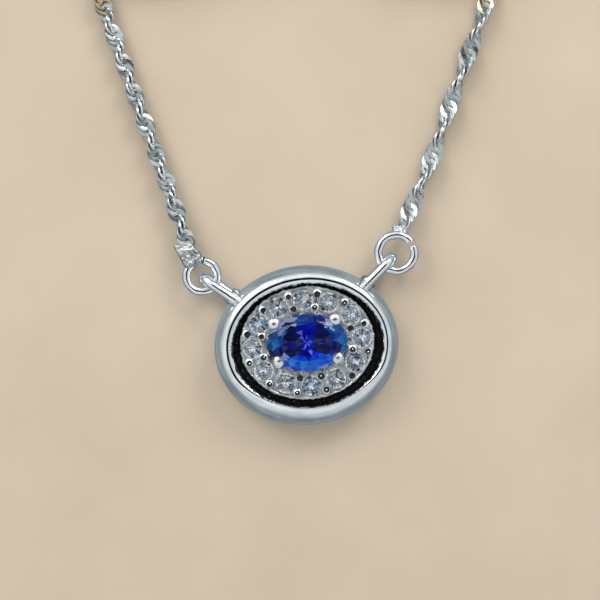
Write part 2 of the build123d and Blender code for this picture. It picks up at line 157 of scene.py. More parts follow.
def wobble(points, size, amount):
    """Points pushed about by smooth noise: size of its lumps and how far, in millimetres."""
    moved = []
    for p in points:
        push = noise.noise_vector(Vector(p) / size)
        moved.append(tuple(Vector(p) + push * amount))
    return moved


def layered(spot, layers):
    """Sum of noise at a spot: each layer is how far it pushes and how fine it is."""
    return sum(amount * noise.noise(spot * fineness) for amount, fineness in layers)


def hump(value, middle, width):
    """One at the middle, falling off smoothly to nothing on both sides."""
    return exp(-(((value - middle) / width) ** 2))


def swept(points, half_width, half_height, sides, side_hint=(0, 0, 1)):
    """Wire swept along points, its ends capped. Sizes are one number or one for each point."""
    path = np.array(points, float)
    count = len(path)
    width = np.broadcast_to(half_width, count)
    height = np.broadcast_to(half_height, count)
    along = unit(np.gradient(path, axis=0))
    across = unit(np.cross(side_hint, along))
    upward = unit(np.cross(along, across))
    turn = np.linspace(0, 2 * pi, sides, endpoint=False)
    ring = (path[:, None] + across[:, None] * (width[:, None] * np.cos(turn))[..., None]
            + upward[:, None] * (height[:, None] * np.sin(turn))[..., None])
    return ring.reshape(-1, 3).tolist(), tube_faces(count, sides)


# ---- materials ----


def set_stops(node, stops):
    """Fill a colour ramp: each stop is its place and its colour or grey."""
    elements = node.color_ramp.elements
    while len(elements) < len(stops):
        elements.new(0.5)
    for element, (place, shade) in zip(elements, stops):
        element.position = place
        element.color = (*shade, 1.0) if isinstance(shade, tuple) else (shade, shade, shade, 1.0)


class Look:
    """A node material under construction, with the few node patterns that the pieces share."""

    def __init__(self, name):
        self.material = bpy.data.materials.new(name)
        self.material.use_nodes = True
        self.tree = self.material.node_tree
        self.shader = self.tree.nodes["Principled BSDF"]
        self.place = self.tree.nodes.new("ShaderNodeTexCoord").outputs["Object"]

    def set(self, name, value):
        self.shader.inputs[name].default_value = value

    def link(self, output, target):
        self.tree.links.new(output, target)

    def grain(self, size, detail=4.0, stretch=(1, 1, 1), offset=0.0):
        """Noise with lumps of this size in millimetres."""
        mapping = self.tree.nodes.new("ShaderNodeMapping")
        mapping.inputs["Scale"].default_value = [s / (size * MM) for s in stretch]
        mapping.inputs["Location"].default_value = (offset, offset, offset)
        texture = self.tree.nodes.new("ShaderNodeTexNoise")
        texture.inputs["Scale"].default_value = 1.0
        texture.inputs["Detail"].default_value = detail
        self.link(self.place, mapping.inputs["Vector"])
        self.link(mapping.outputs["Vector"], texture.inputs["Vector"])
        return texture.outputs["Fac"]

    def ramp(self, value, *stops):
        """Colours or greys by value."""
        node = self.tree.nodes.new("ShaderNodeValToRGB")
        set_stops(node, stops)
        self.link(value, node.inputs["Fac"])
        return node.outputs["Color"]

    def colour(self, value, *stops):
        self.link(self.ramp(value, *stops), self.shader.inputs["Base Color"])

    def roughness(self, value, *stops):
        self.link(self.ramp(value, *stops), self.shader.inputs["Roughness"])

    def bump(self, value, height):
        """Bumps of this height in millimetres, added to any bumps made before."""
        node = self.tree.nodes.new("ShaderNodeBump")
        node.inputs["Strength"].default_value = 1.0
        node.inputs["Distance"].default_value = height * MM
        self.link(value, node.inputs["Height"])
        if self.shader.inputs["Normal"].is_linked:
            self.link(self.shader.inputs["Normal"].links[0].from_socket, node.inputs["Normal"])
        self.link(node.outputs["Normal"], self.shader.inputs["Normal"])


TARNISH_SIZE = 1.3
WEAR_SIZE = 0.5
SCRATCH_SIZE = 0.05
SCRATCH_STRETCH = (1, 0.12, 0.4)


def silver(name, light, dark, smoothness, worn, lump, lump_high, scratch_high):
    """Silver with faint tarnish, soft lumps from polishing and fine scratches."""
    look = Look(name)
    look.set("Metallic", 1.0)
    look.colour(look.grain(TARNISH_SIZE, 5.0), (0.35, dark), (0.62, light))
    look.roughness(look.grain(WEAR_SIZE, 6.0, offset=3.0), (0.35, smoothness), (0.75, worn))
    look.bump(look.grain(lump, 2.0), lump_high)
    look.bump(look.grain(SCRATCH_SIZE, 3.0, stretch=SCRATCH_STRETCH, offset=7.0), scratch_high)
    return look.material


polished_silver = silver("polished_silver", (0.88, 0.92, 0.94), (0.74, 0.79, 0.82), 0.06, 0.15,
                         lump=1.6, lump_high=0.014, scratch_high=0.0008)
setting_silver = silver("setting_silver", (0.62, 0.65, 0.66), (0.40, 0.43, 0.44), 0.22, 0.42,
                        lump=0.30, lump_high=0.008, scratch_high=0.003)
claw_silver = silver("claw_silver", (0.93, 0.95, 0.95), (0.76, 0.79, 0.80), 0.26, 0.42,
                     lump=0.4, lump_high=0.008, scratch_high=0.002)
bead_silver = silver("bead_silver", (0.96, 0.97, 0.97), (0.80, 0.83, 0.84), 0.16, 0.30,
                     lump=0.3, lump_high=0.006, scratch_high=0.001)
chain_silver = silver("chain_silver", (0.66, 0.69, 0.69), (0.40, 0.44, 0.44), 0.20, 0.38,
                      lump=0.3, lump_high=0.012, scratch_high=0.003)
pale_gold = silver("pale_gold", (0.84, 0.74, 0.57), (0.58, 0.48, 0.33), 0.16, 0.34,
                   lump=0.3, lump_high=0.012, scratch_high=0.003)
clasp_silver = silver("clasp_silver", (0.84, 0.88, 0.90), (0.66, 0.71, 0.74), 0.10, 0.24,
                      lump=0.9, lump_high=0.010, scratch_high=0.002)
worn_silver = silver("worn_silver", (0.66, 0.70, 0.70), (0.24, 0.27, 0.28), 0.22, 0.48,
                     lump=0.16, lump_high=0.03, scratch_high=0.006)
spring_steel = silver("spring_steel", (0.62, 0.64, 0.66), (0.45, 0.47, 0.50), 0.18, 0.34,
                      lump=0.5, lump_high=0.006, scratch_high=0.003)


def black_enamel_look():
    """A dull black filling, pitted and uneven."""
    look = Look("black_enamel")
    look.set("Specular IOR Level", 0.22)
    look.colour(look.grain(0.35, 6.0), (0.40, (0.002, 0.002, 0.002)), (0.80, (0.02, 0.018, 0.016)))
    look.roughness(look.grain(0.2, 4.0, offset=5.0), (0.3, 0.35), (0.7, 0.8))
    look.bump(look.grain(0.18, 5.0, offset=1.0), 0.03)
    return look.material


def painted_shade_look():
    """Painted shade: a dark colour in the cupped tops that the beading tool leaves, in a line across each
    claw's head and in the cut of the left jump ring.
    """
    look = Look("painted_shade_pit")
    look.set("Metallic", 0.6)
    look.colour(look.grain(0.12, 3.0), (0.45, (0.006, 0.007, 0.008)), (0.8, (0.10, 0.11, 0.12)))
    look.roughness(look.grain(0.1, 3.0, offset=2.0), (0.3, 0.25), (0.7, 0.5))
    return look.material


def crown_look(name, colour, index):
    """The clear upper facets of a stone."""
    look = Look(name)
    look.set("Transmission Weight", 1.0)
    look.set("IOR", index)
    brighter = tuple(min(1.0, part * 1.04) for part in colour)
    look.colour(look.grain(2.5, 2.0), (0.3, colour), (0.7, brighter))
    look.roughness(look.grain(0.6, 3.0), (0.4, 0.0), (0.8, 0.03))
    return look.material


def pavilion_look(name, roughness, mirror, painted_glow):
    """The lower facets of a stone, which throw light back up, each in the colour painted on it: painted
    reflections, highlights and shade.

    The painted glow, in each facet's colour, stands in for the light that reaches a facet by paths too long
    to be traced.
    """
    look = Look(name)
    look.set("Metallic", mirror)
    look.set("Emission Strength", painted_glow)
    look.set("Specular IOR Level", 0.1)
    tint = look.tree.nodes.new("ShaderNodeVertexColor")
    tint.layer_name = "facet"
    # painted reflections, highlights and shade: each facet's colour, also used for its painted glow
    look.link(tint.outputs["Color"], look.shader.inputs["Base Color"])
    look.link(tint.outputs["Color"], look.shader.inputs["Emission Color"])
    look.roughness(look.grain(0.8, 3.0), (0.3, roughness), (0.7, roughness * 2))
    return look.material


black_enamel = black_enamel_look()
painted_shade_pit = painted_shade_look()
clear_crown = crown_look("clear_crown", (0.995, 0.998, 1.0), 1.60)
# the clear stones' lower facets also glow faintly in their painted colours: painted glow
clear_pavilion = pavilion_look("clear_pavilion", 0.015, 0.96, 0.07)
blue_crown = crown_look("blue_crown", (0.82, 0.88, 1.0), 1.38)
blue_pavilion = pavilion_look("blue_pavilion", 0.12, 0.22, 0.0)

# ---- chains: free cords from their tabs to the stored coils ----

CHAIN_RADIUS = 0.78
CHAIN_ROUTE = {
    "left": [
        (-9.38, 9.50, 1.20), (-9.95, 12.30, 1.20),
        (-11.28, 17.60, 0.80), (-12.62, 22.60, 0.78),
        (-13.92, 28.00, 0.78), (-15.38, 33.70, 0.78),
    ],
    "right": [
        (9.30, 9.42, 1.15), (10.62, 11.75, 1.15),
        (12.60, 15.45, 0.82), (14.75, 20.30, 0.78),
        (17.05, 25.10, 0.78), (19.45, 30.35, 0.78),
    ],
}
COIL_CENTRE = {"left": (-8.6, 41.2), "right": (14.4, 39.0)}
COIL_ENTRY_ANGLE = {"left": 194.3, "right": -25.7}
COIL_EXIT_ANGLE = {"left": 98.0, "right": 20.0}
COIL_TURNED = {"left": 3 * 360 + 96.3, "right": 3 * 360 + 45.7}
COIL_SENSE = {"left": -1, "right": 1}
COIL_OUTER_TURN = 8.4
COIL_INNER_TURN = COIL_OUTER_TURN - 2 * CHAIN_RADIUS
COIL_POINTS_PER_TURN = 18
TAIL_STEPS = {
    "left": [(3.0, 2.0), (5.6, 1.3), (8.0, 1.25)],
    "right": [(2.4, 1.8), (4.3, 1.05), (6.2, 0.8)],
}

# degrees round the coil where it goes from its outer turn to its inner one, where it comes back
# out, and where it climbs on to its first layer
COIL_INWARD = (265, 352)
COIL_OUTWARD = (980, 1065)
COIL_CLIMB = (615, 705)
# how much of each corner of the coil's points the spline leaves out
COIL_CORNER_CUT = 0.7

# links: two ways of twisting them, one on each side, with angles in degrees
LINK = {
    "left": dict(flat=0.10, pitch=0.46, half_twist=2.67, phase=-5, seed=7),
    "right": dict(flat=0.09, pitch=0.53, half_twist=4.75, phase=120, seed=11),
}
LINK_MEAN = 0.60
LINK_WIRE = 0.19
LINK_STEPS = 20
LINK_SIDES = 8
LINK_SQUARENESS = 0.42
LINK_ROLL_PLAY = 7
LINK_LEAN_PLAY = 4
LINK_SIZE_PLAY = (0.985, 1.015)
FIRST_LINK_AT = 0.25
LAST_LINK_SHORT = 0.1
# columns of a link's mesh that are its rims, in a brighter, slightly smoother silver as a painted highlight:
# the others are its flat sides, in the darker chain silver
HIGHLIGHT_RIM_COLUMNS = (0, 7, 3, 4)
# the links between these heights up the picture are gilt, on the stretch before the coil
GILT_FROM = 28.9
GILT_TO = 34.0
RUN_LENGTH = 32.0


def eased(value, start, end):
    """From 0 at start to 1 at end, level at both."""
    share = min(1.0, max(0.0, (value - start) / (end - start)))
    return share * share * (3 - 2 * share)


def coil_turns(side):
    """The stored length: down the outside, in, up and out again, two turns wide and two high."""
    steps = round(COIL_TURNED[side] / 360 * COIL_POINTS_PER_TURN)
    corner = 1 / cos(pi / COIL_POINTS_PER_TURN) ** COIL_CORNER_CUT
    points = []
    for i in range(1, steps):
        turned = COIL_TURNED[side] * i / steps
        inward = eased(turned, *COIL_INWARD) - eased(turned, *COIL_OUTWARD)
        radius = (COIL_OUTER_TURN + (COIL_INNER_TURN - COIL_OUTER_TURN) * inward) * corner
        level = CHAIN_RADIUS * (1 + 2 * eased(turned, *COIL_CLIMB))
        spot = heading(COIL_ENTRY_ANGLE[side] + COIL_SENSE[side] * turned) * radius
        points.append((COIL_CENTRE[side][0] + spot.x, COIL_CENTRE[side][1] + spot.y, level))
    return points


def chain_points(side):
    """The whole route of one chain: run, coil and tail."""
    leave = Vector((*COIL_CENTRE[side], 0)) + heading(COIL_EXIT_ANGLE[side]) * COIL_OUTER_TURN
    along = heading(COIL_EXIT_ANGLE[side] + 90 * COIL_SENSE[side])
    entry = Vector((*COIL_CENTRE[side], 0)) + heading(COIL_ENTRY_ANGLE[side]) * COIL_OUTER_TURN
    tail = [(leave.x, leave.y, 3 * CHAIN_RADIUS)]
    tail += [(*(leave + along * reach).xy, level) for reach, level in TAIL_STEPS[side]]
    return CHAIN_ROUTE[side] + [(entry.x, entry.y, CHAIN_RADIUS)] + coil_turns(side) + tail


def smooth_line(points, name):
    """Points read along the smooth spline that a route controls, in millimetres."""
    curve = bpy.data.curves.new(name, "CURVE")
    curve.dimensions = "3D"
    spline = curve.splines.new("NURBS")
    spline.points.add(len(points) - 1)
    for point, (x, y, z) in zip(spline.points, points):
        point.co = (x * MM, y * MM, z * MM, 1.0)
    spline.order_u = 3
    spline.use_endpoint_u = True
    spline.resolution_u = 12
    holder = placed(name, curve)
    mesh = bpy.data.meshes.new_from_object(holder)
    line = np.array([v.co for v in mesh.vertices], float) / MM
    bpy.data.objects.remove(holder)
    bpy.data.meshes.remove(mesh)
    return line


def along_line(line, places):
    """Points, directions and level side directions at these lengths along a line."""
    run = lengths_along(line)

    def at(lengths):
        return np.stack([np.interp(lengths, run, line[:, k]) for k in range(3)], 1)

    reach = 0.1
    direction = unit(at(np.add(places, reach)) - at(np.subtract(places, reach)))
    level_side = unit(np.cross(direction, (0, 0, 1)))
    return at(places), direction, level_side


def chain_links(side, line):
    """Rings threaded through one another, each turned a little further than the one before."""
    link = LINK[side]
    length = lengths_along(line)[-1]
    places = np.arange(FIRST_LINK_AT, length - LAST_LINK_SHORT, link["pitch"])
    chance = random.Random(link["seed"])
    turn = np.linspace(0, 2 * pi, LINK_STEPS, endpoint=False)
    section = np.linspace(0, 2 * pi, LINK_SIDES, endpoint=False)
    out = np.sign(np.cos(section)) * np.abs(np.cos(section)) ** LINK_SQUARENESS
    up = np.sign(np.sin(section)) * np.abs(np.sin(section)) ** LINK_SQUARENESS
    picture_up = np.array(heading(90 + degrees(VIEW_TURN)).xy)
    faces = grid_faces(LINK_STEPS, LINK_SIDES, wrap_rows=True)
    highlight_rims = [face for k, face in enumerate(faces) if k % LINK_SIDES in HIGHLIGHT_RIM_COLUMNS]
    sheets = [face for k, face in enumerate(faces) if k % LINK_SIDES not in HIGHLIGHT_RIM_COLUMNS]
    shape = Shape()
    for i, (spot, ahead, sideways) in enumerate(zip(*along_line(line, places))):
        upward = np.cross(ahead, sideways)
        twist = link["phase"] + i * 180 * link["pitch"] / link["half_twist"]
        roll = radians(twist + chance.uniform(-LINK_ROLL_PLAY, LINK_ROLL_PLAY))
        arm = sideways * cos(roll) + upward * sin(roll)
        lean = radians(chance.uniform(-LINK_LEAN_PLAY, LINK_LEAN_PLAY))
        leaning = ahead * cos(lean) + np.cross(ahead, arm) * sin(lean)
        normal = np.cross(arm, leaning)
        spokes = np.outer(np.cos(turn), arm) + np.outer(np.sin(turn), leaning)
        size = LINK_MEAN * chance.uniform(*LINK_SIZE_PLAY)
        points = (spot + spokes[:, None] * (size + LINK_WIRE * out)[None, :, None]
                  + normal * (link["flat"] * up)[None, :, None]).reshape(-1, 3)
        points[:, 2] = np.maximum(points[:, 2], 0.0)
        gilt = GILT_FROM < spot[:2].dot(picture_up) < GILT_TO and i * link["pitch"] < RUN_LENGTH
        # painted highlight: the rims take the bright silver and the flat sides the darker one, unless the
        # link is gilt
        shape.add(points, sheets, 2 if gilt else 0)
        shape.add(points, highlight_rims, 2 if gilt else 1)
    return shape, length


for side, ending in (
    ("left", ("end_tag_left", "clasp_ring", "clasp_body", "clasp_pin", "clasp_spring", "clasp_lever")),
    ("right", ("end_tag_right", "catch_ring")),
):
    line = smooth_line(chain_points(side), f"route_{side}")
    links, chain_length = chain_links(side, line)
    chain = make_piece(f"chain_{side}_links", links, f"chain_{side}",
                       [chain_silver, bead_silver, pale_gold],
                       replaces=[f"chain_{side}", f"chain_{side}_coil", f"chain_{side}_tail"])

# ---- pendant frame: domed band with a crease and an inner bevel ----

FRAME_SEMI = (7.93, 6.88)
RECESS_SEMI = (6.45, 5.25)
RECESS_CENTRE = (0.13, 0.0)
FRAME_HEIGHT = 3.2
BACK_THICKNESS = 0.6
SIDE_TOP = 1.25
CREST_HIGH = 0.70
CREST_LOW = 0.96
CREST_LAND = 0.085
BEVEL_END = 0.985
BEVEL_DROP = 0.15
BEVEL_STEPS = 7
DOME_STEPS = 18
DOME_FULLNESS = 1.15
BACK_AND_SIDE = [(0.97, 0.0), (0.5, 0.0), (0.16, 0.0), (0.07, 0.1), (0.02, 0.28), (0.0, 0.55), (0.0, 0.9)]
INNER_WALL = [(0.995, 2.9), (1.0, 2.5), (1.0, 1.6), (1.0, 0.6), (1.0, 0.0)]
WALL_COLUMNS = len(INNER_WALL) + 1
BAND_STEPS = 420
ROUGH_SHARE = 0.1
BAND_EDGE = ((0.08, 1.6), (0.15, 4.1), (0.09, 8.0))
BAND_EDGE_PULL = 0.02
POLISH_DIP = 0.012


def band_section(turn):
    """Share of the band's width from its outer edge, and height, from the back round over the dome.

    The dome's crest lies near the inner edge at the foot of the oval, and further out elsewhere.
    """
    low = eased(-sin(turn), 0.35, 0.85)
    crest = CREST_HIGH + (CREST_LOW - CREST_HIGH) * low
    section = list(BACK_AND_SIDE)
    for k in range(DOME_STEPS + 1):
        climb = pi / 2 * k / DOME_STEPS
        section.append((crest * (1 - cos(climb) ** DOME_FULLNESS),
                        SIDE_TOP + (FRAME_HEIGHT - SIDE_TOP) * sin(climb)))
    land = crest + CREST_LAND * (1 - low)
    section.append((land, FRAME_HEIGHT))
    for k in range(1, BEVEL_STEPS):
        fall = k / BEVEL_STEPS
        section.append((land + (BEVEL_END - land) * fall,
                        FRAME_HEIGHT - BEVEL_DROP * (1 - 0.5 * low) * fall ** 1.3))
    return section + INNER_WALL


def oval(semi, centre, turn):
    """The point of an oval at this angle, in radians."""
    return Vector((centre[0] + semi[0] * cos(turn), centre[1] + semi[1] * sin(turn), 0))


band = Shape()
band_points = []
for i in range(BAND_STEPS):
    turn = 2 * pi * i / BAND_STEPS
    outer = oval(FRAME_SEMI, (0, 0), turn)
    inner = oval(RECESS_SEMI, RECESS_CENTRE, turn)
    inward = (inner - outer).normalized()
    profile = band_section(turn)
    for share, level in profile:
        spot = outer.lerp(inner, share)
        spot.z = level
        rough = max(0.0, (share - (1 - ROUGH_SHARE)) / ROUGH_SHARE)
        spot -= inward * rough * (layered(spot, BAND_EDGE) + BAND_EDGE_PULL)
        if level > SIDE_TOP:
            spot.z -= POLISH_DIP * abs(noise.noise(Vector((spot.x, spot.y, 3.0)) * 0.7))
        band_points.append(tuple(spot))
columns = len(profile)
band.add(band_points, grid_faces(BAND_STEPS, columns, wrap_rows=True))
band.numbers = [int(k % columns >= columns - WALL_COLUMNS) for k in range(len(band.faces))]
make_piece("bezel_frame_band", band, "pendant", [polished_silver, worn_silver],
           replaces=["bezel_frame"])

# ---- black enamel in the recess, with specks of metal ----

CLUSTER_CENTRE = (0.10, 0.21)
PLATE_SEMI = (5.78, 4.86)
PLATE_TOP = 2.5
ENAMEL_TOP = 1.5
ENAMEL_ROWS = 10
ENAMEL_CLIMB = 0.35
ENAMEL_WAVES = ((0.10, 3.0), (0.05, 9.0))
SPECK_COUNT = 34
SPECK_SIDES = 6
SPECK_SIZE = (0.025, 0.055)
SPECK_UNEVEN = (0.6, 1.3)


def speck(shape, spot, size, chance):
    """A grain of metal with an uneven outline that stands up out of the enamel."""
    rim = [(spot.x + size * cos(k) * chance.uniform(*SPECK_UNEVEN),
            spot.y + size * sin(k) * chance.uniform(*SPECK_UNEVEN), ENAMEL_TOP + 0.1)
           for k in range(SPECK_SIDES)]
    top, foot = SPECK_SIDES, SPECK_SIDES + 1
    upper = [(k, (k + 1) % SPECK_SIDES, top) for k in range(SPECK_SIDES)]
    lower = [((k + 1) % SPECK_SIDES, k, foot) for k in range(SPECK_SIDES)]
    ends = [(spot.x, spot.y, ENAMEL_TOP + 0.22), (spot.x, spot.y, ENAMEL_TOP - 0.1)]
    shape.add(rim + ends, upper + lower, 1)


enamel = Shape()
enamel_points = []
for i in range(BAND_STEPS):
    turn = 2 * pi * i / BAND_STEPS
    outer = oval(RECESS_SEMI, RECESS_CENTRE, turn)
    inner = oval(PLATE_SEMI, CLUSTER_CENTRE, turn)
    for k in range(ENAMEL_ROWS + 1):
        spot = outer.lerp(inner, k / ENAMEL_ROWS)
        edge = abs(2 * k / ENAMEL_ROWS - 1) ** 3
        spot.z = ENAMEL_TOP + ENAMEL_CLIMB * edge + layered(spot, ENAMEL_WAVES)
        enamel_points.append(tuple(spot))
    for k in range(ENAMEL_ROWS, -1, -1):
        spot = outer.lerp(inner, k / ENAMEL_ROWS)
        spot.z = BACK_THICKNESS
        enamel_points.append(tuple(spot))
enamel.add(enamel_points, grid_faces(BAND_STEPS, 2 * (ENAMEL_ROWS + 1), wrap_rows=True))
speck_chance = random.Random(31)
for i in range(SPECK_COUNT):
    turn = speck_chance.uniform(0, 2 * pi)
    share = speck_chance.uniform(0.15, 0.9)
    spot = oval(RECESS_SEMI, RECESS_CENTRE, turn).lerp(oval(PLATE_SEMI, CLUSTER_CENTRE, turn), share)
    speck(enamel, spot, speck_chance.uniform(*SPECK_SIZE), speck_chance)
make_piece("enamel_channel_fill", enamel, "pendant", [black_enamel, bead_silver],
           replaces=["enamel_channel"])

# ---- pavé plate: a cut skin round the seats ----

PLATE_OPENING_SEMI = (3.16, 2.28)
HALO_COUNT = 12
HALO_SEMI = (4.70, 3.67)
HALO_RADIUS = 0.875
OUTER_BEAD_SEMI = (5.33, 4.27)
INNER_BEAD_SEMI = (4.00, 3.05)
GAPS_WITH_CLAWS = (1, 4, 7, 10)
OVAL_FINENESS = 3600

SKIN_STEPS = 540
SKIN_ROWS = 40
SKIN_LIFT = 0.03
COLLAR_OUT = 0.05
COLLAR_WIDTH = 0.07
COLLAR_HEIGHT = 0.03
LIP_SHARE = 0.965
LIP_WIDTH = 0.022
LIP_HEIGHT = 0.06
TROUGH_OUT = 0.1
TROUGH_WIDTH = 0.25
TROUGH_SHARE = 0.95
TROUGH_WAVE = 0.06
RIM_SHARE = 0.025
RIM_DROP = 0.16
PLATE_EDGE = ((0.07, 1.7), (0.15, 4.3), (0.09, 8.5))


def oval_points(semi, count, offset):
    """Points spaced evenly along an oval's length, clockwise from the top, offset in steps."""
    turn = np.linspace(0, 2 * pi, OVAL_FINENESS + 1)
    at = np.stack([semi[0] * np.sin(turn), semi[1] * np.cos(turn)], 1)
    run = lengths_along(at)
    points = []
    for i in range(count):
        wanted = run[-1] * ((i + offset) % count) / count
        points.append((float(np.interp(wanted, run, at[:, 0])) + CLUSTER_CENTRE[0],
                       float(np.interp(wanted, run, at[:, 1])) + CLUSTER_CENTRE[1]))
    return points


halo_points = oval_points(HALO_SEMI, HALO_COUNT, 0)
outer_beads = oval_points(OUTER_BEAD_SEMI, HALO_COUNT, 0.5)
inner_beads = [place for i, place in enumerate(oval_points(INNER_BEAD_SEMI, HALO_COUNT, 0.5))
               if i not in GAPS_WITH_CLAWS]


def nearest_stone(spot):
    """Distance in the plan from a spot to the middle of the nearest clear stone."""
    return min(dist(spot.xy, stone) for stone in halo_points)


skin = Shape()
skin_points = []
for i in range(SKIN_STEPS):
    turn = 2 * pi * i / SKIN_STEPS
    inner = oval(PLATE_OPENING_SEMI, CLUSTER_CENTRE, turn)
    outer = oval(PLATE_SEMI, CLUSTER_CENTRE, turn)
    outward = (outer - inner).normalized()
    for k in range(SKIN_ROWS + 1):
        share = k / SKIN_ROWS
        spot = inner.lerp(outer, share)
        near = nearest_stone(spot)
        collar = COLLAR_HEIGHT * hump(near, HALO_RADIUS + COLLAR_OUT, COLLAR_WIDTH)
        lip = LIP_HEIGHT * hump(share, LIP_SHARE, LIP_WIDTH)
        trough = max(0.0, min(1.0, (near - HALO_RADIUS - TROUGH_OUT) / TROUGH_WIDTH)) * (share < TROUGH_SHARE)
        rim = max(0.0, (share - (1 - RIM_SHARE)) / RIM_SHARE)
        spot.z = (PLATE_TOP + SKIN_LIFT + collar + lip + TROUGH_WAVE * trough * noise.noise(spot * 3.0)
                  - RIM_DROP * rim ** 2)
        spot += outward * max(0.0, (share - (1 - ROUGH_SHARE)) / ROUGH_SHARE) * layered(spot, PLATE_EDGE)
        skin_points.append(tuple(spot))
    skin_points.append((spot.x, spot.y, ENAMEL_TOP - 0.1))
skin_faces = []
for face in grid_faces(SKIN_STEPS, SKIN_ROWS + 2, wrap_rows=True, wrap_columns=False):
    middle = sum((Vector(skin_points[k]) for k in face), Vector()) / 4
    if nearest_stone(middle) > HALO_RADIUS - 0.03:
        skin_faces.append(face)
skin.add(skin_points, skin_faces)
make_piece("halo_plate_skin", skin, "pendant", [setting_silver])

# ---- stones ----

# painted reflections, highlights and shade: what a facet throws back, one of its region's colours, drawn for
# each facet
CLEAR_PAINTED_LIGHT = [(1.0, 1.0, 1.0), (0.97, 0.98, 1.0), (0.93, 0.96, 1.0), (0.99, 0.99, 1.0), (0.36, 0.42, 0.50),
               (0.04, 0.05, 0.08), (0.38, 0.68, 1.0), (1.0, 1.0, 1.0), (0.90, 0.95, 1.0), (0.96, 0.98, 1.0)]
# the blue stone: its own blue with painted light, pale for painted highlights, azure, teal and bright blues
# for lit facets, royal, slate and navy for painted shade
PALE_PAINTED_HIGHLIGHTS = [(0.90, 0.90, 1.0), (0.76, 0.78, 0.98), (0.95, 0.94, 1.0), (0.10, 0.22, 0.62)]
AZURE_TINTS = [(0.02, 0.15, 0.55), (0.03, 0.25, 0.72), (0.01, 0.05, 0.36), (0.02, 0.19, 0.50)]
TEAL_TINTS = [(0.004, 0.16, 0.46), (0.01, 0.25, 0.64), (0.01, 0.06, 0.50), (0.003, 0.10, 0.34)]
BRIGHT_TINTS = [(0.01, 0.10, 0.72), (0.02, 0.22, 0.85), (0.04, 0.30, 0.90), (0.40, 0.44, 0.85),
                (0.01, 0.03, 0.42)]
ROYAL_TINTS = [(0.004, 0.012, 0.53), (0.006, 0.03, 0.75), (0.003, 0.008, 0.25), (0.26, 0.30, 0.80)]
SLATE_TINTS = [(0.045, 0.048, 0.17), (0.03, 0.033, 0.13), (0.008, 0.012, 0.28), (0.06, 0.064, 0.20)]
NAVY_TINTS = [(0.008, 0.010, 0.06), (0.012, 0.013, 0.10), (0.006, 0.009, 0.045), (0.006, 0.014, 0.21)]
# levels of a stone: its foot, the girdle's lower and upper edge, and the table
HALO_LEVELS = (1.72, 2.42, 2.5, 2.8)
HALO_TABLE = 0.571
HALO_TIERS = [(0.36, 0.647)]
STONE_SEMI = (3.5, 2.5)
STONE_LEVELS = (0.77, 2.72, 2.87, 3.62)
STONE_TABLE = 0.76
STONE_TIERS = [(0.82, 0.175), (0.64, 0.36), (0.46, 0.545), (0.28, 0.735), (0.12, 0.90)]
STAR_OUT = 1.01
STAR_RISE = 0.56


def painted_clear_light(x, y, chance):
    """Painted light for a clear stone: any of its colours anywhere; x and y are there because brilliant gives
    them.
    """
    return chance.choice(CLEAR_PAINTED_LIGHT)


def blue_with_painted_light(x, y, chance):
    """Painted light on the stone's own blue: painted shade in navy with a royal bow under the table, azure
    round it, teal at the ends, painted highlights in pale at the shoulders.
    """
    right_of_table = x > 0.46 + 0.32 * (0.57 - y)
    left_of_table = x < -0.37 - 0.41 * (0.72 - y)
    if (x < -0.26 and y > 0.58) or (x < -0.55 and y > 0.34) or (0.40 < x < 0.75 and y > 0.50):
        return chance.choice(PALE_PAINTED_HIGHLIGHTS)
    if y > 0.62:
        return chance.choice(AZURE_TINTS)
    if right_of_table:
        return chance.choice(TEAL_TINTS)
    if left_of_table:
        return chance.choice(TEAL_TINTS if y > -0.12 else NAVY_TINTS)
    if y < -0.54 + 0.28 * abs(x):
        return chance.choice(BRIGHT_TINTS)
    if abs(x) < 0.10 + 0.30 * abs(y):
        return chance.choice(ROYAL_TINTS)
    if -0.12 < y < 0.14:
        return chance.choice(SLATE_TINTS)
    return chance.choice(NAVY_TINTS)


